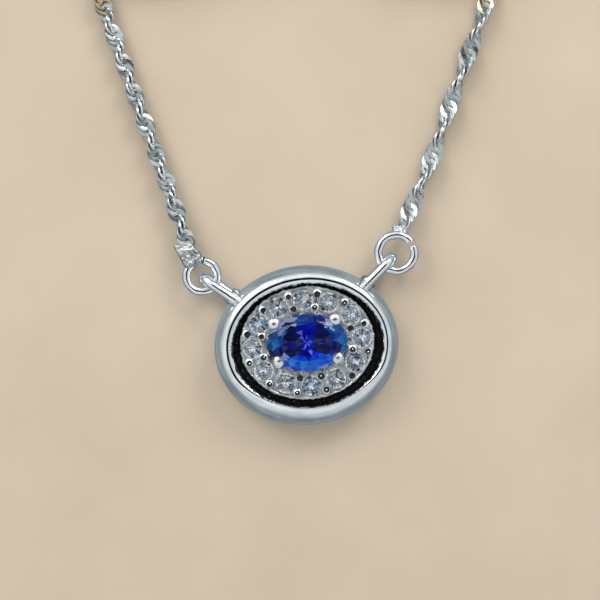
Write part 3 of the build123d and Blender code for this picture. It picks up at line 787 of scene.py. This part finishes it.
def brilliant(shape, centre, semi, levels, table, spin, tiers, tint, chance):
    """A round or oval brilliant: table, stars, kites, girdle and pavilion, one face each.

    Each tier of the pavilion is a share of the stone's width and of the way down to its foot.
    """
    foot, girdle_low, girdle_high, top = levels

    def ring(radius, level, count, offset):
        angles = [spin + offset + 2 * pi * k / count for k in range(count)]
        return [Vector((centre[0] + semi[0] * radius * cos(angle),
                        centre[1] + semi[1] * radius * sin(angle), level)) for angle in angles]

    tops = ring(table, top, 8, pi / 8)
    stars = ring((1 + table) / 2 * STAR_OUT, girdle_high + (top - girdle_high) * STAR_RISE, 8, 0)
    uppers = ring(1.0, girdle_high, 16, 0)
    lowers = ring(1.0, girdle_low, 16, 0)
    at_stars, at_uppers, at_lowers = 8, 16, 32
    crown = [tuple(range(8))]
    for k in range(8):
        after = (k + 1) % 8
        crown.append((k, at_stars + after, after))
        crown.append((k, at_uppers + 2 * k + 1, at_stars + after))
        crown.append((k, at_stars + k, at_uppers + 2 * k + 1))
        crown.append((at_stars + k, at_uppers + 2 * k, at_uppers + 2 * k + 1))
        crown.append((at_uppers + 2 * k + 1, at_uppers + (2 * k + 2) % 16, at_stars + after))
        for step in (2 * k, 2 * k + 1):
            crown.append((at_uppers + step, at_lowers + step, at_lowers + (step + 1) % 16,
                          at_uppers + (step + 1) % 16))
    shape.add(tops + stars + uppers + lowers, crown, 0)
    pavilion = []
    above = lowers
    for step, (radius, drop) in enumerate(tiers):
        offset = pi / 16 * ((step + 1) % 2)
        below = ring(radius, girdle_low + (foot - girdle_low) * drop, 16, offset)
        for k in range(16):
            after = (k + 1) % 16
            if step % 2 == 0:
                pavilion += [(above[k], below[k], above[after]), (below[k], below[after], above[after])]
            else:
                pavilion += [(above[k], below[after], above[after]), (above[k], below[k], below[after])]
        above = below
    culet = Vector((centre[0], centre[1], foot))
    pavilion += [(above[k], culet, above[(k + 1) % 16]) for k in range(16)]
    # each pavilion facet is painted with the colour that tint picks for its place: painted reflections,
    # highlights and shade
    for corners in pavilion:
        middle = sum(corners, Vector()) / len(corners)
        shade = tint((middle.x - centre[0]) / semi[0], (middle.y - centre[1]) / semi[1], chance)
        shape.add(corners, [(0, 1, 2)], 1, shade)


stone_chance = random.Random(23)
for number, centre in enumerate(halo_points, start=1):
    stone = Shape()
    brilliant(stone, centre, (HALO_RADIUS, HALO_RADIUS), HALO_LEVELS, HALO_TABLE,
              stone_chance.uniform(0, pi / 4), HALO_TIERS, painted_clear_light, stone_chance)
    make_piece(f"halo_stone_{number:02d}_facets", stone, "pendant",
               [clear_crown, clear_pavilion], replaces=[f"halo_stone_{number:02d}"],
               smooth=False, tinted=True)

stone = Shape()
brilliant(stone, CLUSTER_CENTRE, STONE_SEMI, STONE_LEVELS, STONE_TABLE, 0.0, STONE_TIERS,
          blue_with_painted_light, stone_chance)
make_piece("centre_stone_facets", stone, "pendant", [blue_crown, blue_pavilion],
           replaces=["centre_stone"], smooth=False, tinted=True)

# ---- beads and claws ----

TURNED_STEPS = 24
BEAD_RADIUS = 0.34
BEAD_SIZE_PLAY = (0.94, 1.06)
BEAD_UNEVEN = 0.06
CUP_SHARE = (0.64, 0.84)
CUP_PLAY = 0.03
BEAD_POINT_SHARE = 0.45
BEAD_POINT_PLAY = 0.05
# outer beads above this height have their cups pulled towards the middle
PULLED_ABOVE = 0.5
OUTER_CUP_PULL = 0.10
CLAW_FOOT = (2.66, 1.76)
CLAW_HEAD = (2.54, 1.65)
CLAW_SHIFTS = (
    (-1, -1, (0.02, 0.34)),
    (-1, 1, (-0.15, 0.24)),
    (1, -1, (-0.08, 0.15)),
    (1, 1, (0.0, 0.12)),
)
CLAW_RADIUS = 0.34
CLAW_UNEVEN = 0.05
CLAW_FOOT_Z = 0.9
CLAW_BEND_Z = 2.3
CLAW_HEAD_RADIUS = 0.50
CLAW_HEAD_TALL = 0.29
CLAW_HEAD_Z = 3.1
CLAW_HEAD_ROWS = 15
CLAW_HEAD_SQUARENESS = 0.85
# the dark line of painted shade across each claw's head: its reach, half width, half depth and how far it
# sinks
DARK_LINE_REACH = (0.28, 0.40)
DARK_LINE_HALF_WIDTH = 0.042
DARK_LINE_HALF_DEPTH = 0.03
DARK_LINE_SINK = 0.012


def turned(shape, circles, numbers, chance, lumps):
    """Level circles joined up, each given by its centre and its radius. Lumps makes them uneven."""
    rows = []
    seed = chance.uniform(0, 50)
    for (x, y, z), radius in circles:
        for k in range(TURNED_STEPS):
            turn = 2 * pi * k / TURNED_STEPS
            reach = radius * (1 + lumps * noise.noise(Vector((cos(turn) + seed, sin(turn), z * 2))))
            rows.append((x + reach * cos(turn), y + reach * sin(turn), z))
    for row, number in enumerate(numbers):
        ring_pair = rows[row * TURNED_STEPS:(row + 2) * TURNED_STEPS]
        shape.add(ring_pair, grid_faces(2, TURNED_STEPS), number)
    shape.add(rows[-TURNED_STEPS:], [tuple(range(TURNED_STEPS))], numbers[-1])


def bead(shape, place, chance, cup_shift):
    """A grain of metal with a cupped top, painted shade inside the cup, some with a bright point left in the
    cup.
    """
    size = BEAD_RADIUS * chance.uniform(*BEAD_SIZE_PLAY)
    cup = chance.uniform(*CUP_SHARE)
    middle = (place[0] + cup_shift[0] + chance.uniform(-CUP_PLAY, CUP_PLAY),
              place[1] + cup_shift[1] + chance.uniform(-CUP_PLAY, CUP_PLAY))
    half_way = ((place[0] + middle[0]) / 2, (place[1] + middle[1]) / 2)
    grain = [(place, 0.0, size * 1.02), (place, 0.30, size), (place, 0.36, size * 0.97),
             (half_way, 0.385, size * max(0.88, cup + 0.07)), (middle, 0.41, size * (cup + 0.03)),
             (middle, 0.40, size * cup), (middle, 0.30, size * cup * 0.8), (middle, 0.26, size * cup * 0.3)]
    # the rows down inside the cup, and its floor, take the painted shade
    turned(shape, [((*spot, PLATE_TOP + level), radius) for spot, level, radius in grain],
           [0, 0, 0, 0, 0, 1, 1], chance, BEAD_UNEVEN)
    if chance.random() < BEAD_POINT_SHARE:
        spot = (middle[0] + chance.uniform(-BEAD_POINT_PLAY, BEAD_POINT_PLAY),
                middle[1] + chance.uniform(-BEAD_POINT_PLAY, BEAD_POINT_PLAY))
        point = [(0.26, 0.07), (0.38, 0.055), (0.40, 0.02)]
        turned(shape, [((*spot, PLATE_TOP + level), radius) for level, radius in point],
               [0, 0], chance, 0.2)


def claw(shape, sx, sy, shift, chance):
    """A leaning claw with a flattened ball head, and a dark line of painted shade across the top of the head.
    """
    cx, cy = CLUSTER_CENTRE
    foot = Vector((cx + sx * CLAW_FOOT[0], cy + sy * CLAW_FOOT[1], CLAW_FOOT_Z))
    head = Vector((cx + sx * CLAW_HEAD[0] + shift[0], cy + sy * CLAW_HEAD[1] + shift[1], CLAW_HEAD_Z))
    rows = [(tuple(foot), CLAW_RADIUS), ((foot.x, foot.y, CLAW_BEND_Z), CLAW_RADIUS)]
    rows += [((*foot.lerp(head, k / 4).xy, CLAW_BEND_Z + 0.1 + 0.1 * k), CLAW_RADIUS * (1 - 0.04 * k))
             for k in range(1, 4)]
    for k in range(2, CLAW_HEAD_ROWS):
        turn = -pi / 2 + pi * k / CLAW_HEAD_ROWS
        radius = CLAW_HEAD_RADIUS * cos(turn) ** CLAW_HEAD_SQUARENESS
        rows.append(((head.x, head.y, CLAW_HEAD_Z + CLAW_HEAD_TALL * sin(turn)), radius))
    turned(shape, rows, [0] * (len(rows) - 1), chance, CLAW_UNEVEN)
    reach = chance.uniform(*DARK_LINE_REACH)
    dark_line = []
    for k in range(-4, 5):
        dark_line.append((head.x + CLAW_HEAD_RADIUS * sin(k * reach / 4), head.y + 0.005 * k,
                       head.z + CLAW_HEAD_TALL * cos(k * reach / 4) - DARK_LINE_SINK))
    # painted shade: a dark line across the top of the head
    shape.add(*swept(dark_line, DARK_LINE_HALF_WIDTH, DARK_LINE_HALF_DEPTH, 10), 1)


bead_chance = random.Random(5)
for name, places in (("halo_beads_outer", outer_beads), ("halo_beads_inner", inner_beads)):
    beads = Shape()
    for place in places:
        pull = OUTER_CUP_PULL if name == "halo_beads_outer" and place[1] > PULLED_ABOVE else 0.0
        bead(beads, place, bead_chance, (-pull * place[0] / 5, -pull * place[1] / 4))
    make_piece(f"{name}_cupped", beads, "pendant", [bead_silver, painted_shade_pit],
               replaces=[name])

claws = Shape()
for sx, sy, shift in CLAW_SHIFTS:
    claw(claws, sx, sy, shift, bead_chance)
make_piece("centre_claws_balls", claws, "pendant", [claw_silver, painted_shade_pit],
           replaces=["centre_claws"])

# ---- eyelets, jump rings and tabs ----

WIRE_LEVEL = 1.55
WIRE_SIDES = 28
EYELET = {
    "left": dict(angle=141.0, roll=7.0, seed=3.0),
    "right": dict(angle=40.2, roll=-2.0, seed=9.0),
}
EYELET_WIRE = 0.43
EYELET_BEND = 1.0
EYELET_TIP = 10.95
EYELET_FOOT = 7.05
EYELET_SWELL = 0.10
LEG_STEPS = 26
BEND_STEPS = 36
SOLDER_IN = 0.45
SOLDER_ROWS = 14
SOLDER_SIDES = 20
SOLDER_LUMPS = ((0.22, 2.2), (0.10, 6.0))
# a jump ring's slants are how far its wire's two cut ends lean, in radians at the wire's surface
RING = {
    "left": dict(mean=1.34, wire=0.36, reach=10.76, cut=79.0, gap=0.15, slants=(-0.075, -0.075)),
    "right": dict(mean=1.55, wire=0.365, reach=11.10, cut=24.5, gap=0.46, slants=(-0.10, -0.025)),
}
RING_STEPS = 150
SLANT_STEPS = 14
# how thick the dark plug of painted shade in the left ring's cut is, as a share of the wire
SHADE_PLUG_SHARE = 0.93
UP = Vector((0, 0, 1))


def eyelet_line(side):
    """Centreline of a staple: out along the upper leg, round the bend, back along the lower leg."""
    out = heading(EYELET[side]["angle"])
    across = UP.cross(out)
    roll = radians(EYELET[side]["roll"])
    upward = UP * cos(roll) + across * sin(roll)
    bend = out * (EYELET_TIP - EYELET_WIRE - EYELET_BEND) + UP * WIRE_LEVEL
    leg = (bend - out * EYELET_FOOT).dot(out)
    line = [bend + upward * EYELET_BEND - out * leg * (1 - k / LEG_STEPS) for k in range(LEG_STEPS)]
    for k in range(BEND_STEPS + 1):
        turn = pi / 2 - pi * k / BEND_STEPS
        line.append(bend + upward * EYELET_BEND * sin(turn) + out * EYELET_BEND * cos(turn))
    line += [bend - upward * EYELET_BEND - out * leg * k / LEG_STEPS for k in range(1, LEG_STEPS + 1)]
    return [tuple(p) for p in line], across


def solder(shape, centre, out, reach, height, seed):
    """A lump of solder where a leg meets the frame, pitted and uneven."""
    points = []
    sideways = UP.cross(out)
    coarse, fine = SOLDER_LUMPS
    for i in range(SOLDER_ROWS):
        fall = pi * (i + 0.5) / SOLDER_ROWS
        for k in range(SOLDER_SIDES):
            turn = 2 * pi * k / SOLDER_SIDES
            spoke = out * cos(fall) + (sideways * cos(turn) + UP * sin(turn)) * sin(fall)
            lump = (1 + coarse[0] * noise.noise(spoke * coarse[1] + Vector((seed, 0, 0)))
                    + fine[0] * noise.noise(spoke * fine[1]))
            points.append(tuple(centre + Vector((spoke.x * reach, spoke.y * reach, spoke.z * height)) * lump))
    shape.add(points, tube_faces(SOLDER_ROWS, SOLDER_SIDES), 1)


def staple(side):
    """An eyelet: its wire, a little thicker at the bend, and the solder at both its feet."""
    line, across = eyelet_line(side)
    out = heading(EYELET[side]["angle"])
    thick = EYELET_WIRE * (1 + EYELET_SWELL * np.exp(-((np.linspace(0, 1, len(line)) - 0.5) / 0.10) ** 2))
    points, faces = swept(line, thick, thick, WIRE_SIDES, side_hint=tuple(across))
    shape = Shape()
    shape.add(wobble(points, 0.8, 0.035), faces, 0)
    upper_foot = Vector(line[0]) + out * SOLDER_IN - UP * 0.1
    solder(shape, upper_foot, out, 0.62, 0.5, EYELET[side]["seed"])
    solder(shape, Vector(line[-1]) + out * SOLDER_IN, out, 0.60, 0.5, 15.0)
    return shape


def jump_ring(side):
    """A ring of wire cut through at one place, with the cut's two ends slanted."""
    ring = RING[side]
    centre = heading(EYELET[side]["angle"]) * ring["reach"] + UP * WIRE_LEVEL

    def at(turn):
        return (centre.x + ring["mean"] * cos(turn), centre.y + ring["mean"] * sin(turn), centre.z)

    half_gap = ring["gap"] / 2 / ring["mean"]
    start = radians(ring["cut"]) + half_gap
    sweep = 2 * pi - 2 * half_gap
    line = [at(start + sweep * k / (RING_STEPS - 1)) for k in range(RING_STEPS)]
    points, faces = swept(line, ring["wire"], ring["wire"], WIRE_SIDES)
    slanted = []
    for index, point in enumerate(points):
        k = index // WIRE_SIDES
        spoke = (Vector(point).xy - centre.xy).length - ring["mean"]
        near_end = max(0.0, 1 - min(k, RING_STEPS - 1 - k) / SLANT_STEPS)
        turn = ring["slants"][0 if k < RING_STEPS / 2 else 1] * spoke / ring["wire"] * near_end
        offset = Vector(point) - centre
        slanted.append((centre.x + offset.x * cos(turn) - offset.y * sin(turn),
                        centre.y + offset.x * sin(turn) + offset.y * cos(turn), point[2]))
    shape = Shape()
    shape.add(wobble(slanted, 0.7, 0.045), faces)
    # painted shade: a dark plug fills the left ring's cut, so that the gap reads dark
    if side == "left":
        shade_plug = [at(radians(ring["cut"]) + k * half_gap) for k in (-1.1, 0, 1.1)]
        thick = SHADE_PLUG_SHARE * ring["wire"]
        shape.add(*swept(shade_plug, thick, thick, WIRE_SIDES), 1)
    return shape


for side in ("left", "right"):
    make_piece(f"eyelet_{side}_wire", staple(side), "pendant",
               [polished_silver, worn_silver], replaces=[f"eyelet_{side}"])
    make_piece(f"jump_ring_{side}_wire", jump_ring(side), f"jump_ring_{side}",
               [polished_silver, painted_shade_pit], replaces=[f"jump_ring_{side}"])

TAB_GRID = 34
TAB_THICKNESS = 0.11
TAB_EDGE_SHARE = 0.2
TAB_EDGE_DROP = 0.22
TAB_EDGE_LIP = 0.25
TAB_FOLD_SHARE = 0.18
TAB_CREASE = 0.10
TAB_RIPPLE = 0.06
TAB_WAVE = 0.05


def sheet_tab(shape, corners, levels, end_drop, bulge, seed):
    """A folded strip of thin sheet: a creased upper face with turned-down edges, bent over the wire."""
    a, b, c, d = (Vector(p) for p in corners)
    upper = []
    lower = []
    for i in range(TAB_GRID + 1):
        along = i / TAB_GRID
        for j in range(TAB_GRID + 1):
            cross = j / TAB_GRID
            spot = a.lerp(b, cross).lerp(d.lerp(c, cross), along)
            edge = max(0.0, abs(2 * cross - 1) - (1 - TAB_EDGE_SHARE)) / TAB_EDGE_SHARE
            over = max(0.0, (along - (1 - TAB_FOLD_SHARE)) / TAB_FOLD_SHARE)
            crease = TAB_CREASE * abs(noise.noise(Vector((spot.x, spot.y, seed)) * 1.6))
            crease += TAB_RIPPLE * noise.noise(Vector((spot.x * 3.3, spot.y * 5.0, seed)))
            wave = TAB_WAVE * noise.noise(Vector((spot.x * 2.0, spot.y * 2.0, seed + 4)))
            x = spot.x + wave + bulge * cross * sin(pi * along)
            y = spot.y + wave * 0.7
            z = (levels[0] + (levels[1] - levels[0]) * along + crease - TAB_EDGE_DROP * edge ** 2
                 - end_drop * over ** 2)
            upper.append((x, y, z))
            lower.append((x, y, z - TAB_THICKNESS - TAB_EDGE_LIP * edge))
    count = TAB_GRID + 1
    size = count * count
    faces = grid_faces(count, count, wrap_columns=False)
    flipped = [tuple(size + k for k in reversed(face)) for face in faces]
    border = (list(range(count)) + [k * count + count - 1 for k in range(1, count)]
              + [size - 1 - k for k in range(1, count)]
              + [size - count - k * count for k in range(1, count - 1)])
    walls = [(border[k], border[k - 1], size + border[k - 1], size + border[k]) for k in range(len(border))]
    shape.add(upper + lower, faces + flipped + walls)


left_tab = Shape()
sheet_tab(left_tab, ((-10.58, 9.61), (-8.96, 9.62), (-8.16, 7.80), (-9.66, 7.48)), levels=(1.95, 2.04),
          end_drop=0.10, bulge=0.22, seed=2.0)
sheet_tab(left_tab, ((-10.35, 9.55), (-9.0, 9.5), (-8.35, 8.02), (-9.62, 7.72)), levels=(0.98, 0.96),
          end_drop=-0.3, bulge=0.1, seed=6.0)
make_piece("chain_tab_left_sheet", left_tab, "chain_left", [worn_silver],
           replaces=["chain_tab_left"])
right_tab = Shape()
sheet_tab(right_tab, ((8.34, 9.50), (9.75, 9.42), (9.50, 8.30), (8.45, 8.50)), levels=(1.52, 1.10),
          end_drop=0.0, bulge=0.0, seed=9.0)
make_piece("chain_tab_right_sheet", right_tab, "chain_right", [bead_silver],
           replaces=["chain_tab_right"])

# ---- CAD nodes that stay, with their materials ----

for look, names in (
    (polished_silver, ["back_plate"]),
    (setting_silver, ["halo_plate", "centre_gallery"]),
    (spring_steel, ["clasp_pin", "clasp_spring"]),
    (clasp_silver, ["end_tag_left", "end_tag_right", "clasp_ring", "catch_ring", "clasp_body",
                    "clasp_lever"]),
):
    for name in names:
        nodes[name].data.materials.clear()
        nodes[name].data.materials.append(look)

# ---- floor and light ----

FLOOR_SIZE = 900.0

ground = Look("floor")
ground.colour(ground.grain(14.0, 3.0), (0.35, (0.618, 0.505, 0.382)), (0.65, (0.662, 0.550, 0.422)))
ground.set("Roughness", 0.95)
ground.set("Specular IOR Level", 0.1)
ground.bump(ground.grain(0.35, 4.0), 0.01)
floor_mesh = bpy.data.meshes.new("floor")
half = FLOOR_SIZE / 2 * MM
floor_mesh.from_pydata([(-half, -half, 0), (half, -half, 0), (half, half, 0), (-half, half, 0)], [],
                       [(0, 1, 2, 3)])
floor_mesh.materials.append(ground.material)
floor = placed("floor", floor_mesh)
floor.visible_glossy = False


def soft_light(name, place, size, power):
    """A square soft box aimed at the pendant, place and size in millimetres."""
    data = bpy.data.lights.new(name, "AREA")
    data.size = size * MM
    data.energy = power
    light = placed(name, data)
    light.location = Vector(place) * MM
    light.rotation_euler = (-light.location).to_track_quat("-Z", "Y").to_euler()


soft_light("key", (-165, 225, 190), 190, 0.40)
soft_light("fill", (165, 210, 170), 120, 0.30)

# the sky that the metal mirrors: grey at the horizon, bright higher up and black straight above, the
# place of each stop being half the height of its direction, plus a half
SKY_STOPS = (
    (0.0, (0.30, 0.33, 0.35)),
    (0.42, (0.34, 0.38, 0.40)),
    (0.52, (0.42, 0.46, 0.48)),
    (0.66, (0.72, 0.76, 0.78)),
    (0.80, (0.90, 0.92, 0.93)),
    (0.93, (0.96, 0.97, 0.97)),
    (0.974, (0.84, 0.86, 0.87)),
    (0.982, (0.01, 0.01, 0.01)),
)
world = bpy.data.worlds.new("studio")
bpy.context.scene.world = world
world.use_nodes = True
sky = world.node_tree
background = sky.nodes["Background"]
direction = sky.nodes.new("ShaderNodeTexCoord").outputs["Generated"]
split = sky.nodes.new("ShaderNodeSeparateXYZ")
sky.links.new(direction, split.inputs["Vector"])


def map_range(value, given, wanted):
    """A value moved from the range that it is given in to the one wanted."""
    node = sky.nodes.new("ShaderNodeMapRange")
    for name, limit in zip(("From Min", "From Max", "To Min", "To Max"), (*given, *wanted)):
        node.inputs[name].default_value = limit
    sky.links.new(value, node.inputs["Value"])
    return node.outputs["Result"]


shades = sky.nodes.new("ShaderNodeValToRGB")
sky.links.new(map_range(split.outputs["Z"], (-1.0, 1.0), (0.0, 1.0)), shades.inputs["Fac"])
set_stops(shades, SKY_STOPS)
lean = map_range(split.outputs["Y"], (-0.7, 0.7), (0.80, 1.05))
patches = sky.nodes.new("ShaderNodeTexNoise")
patches.inputs["Scale"].default_value = 2.2
patches.inputs["Detail"].default_value = 1.0
sky.links.new(direction, patches.inputs["Vector"])
factor = sky.nodes.new("ShaderNodeMath")
factor.operation = "MULTIPLY"
sky.links.new(lean, factor.inputs[0])
sky.links.new(map_range(patches.outputs["Fac"], (0.35, 0.65), (0.78, 1.12)), factor.inputs[1])
sky.links.new(shades.outputs["Color"], background.inputs["Color"])
sky.links.new(factor.outputs["Value"], background.inputs["Strength"])

bpy.context.scene.view_settings.view_transform = "Standard"
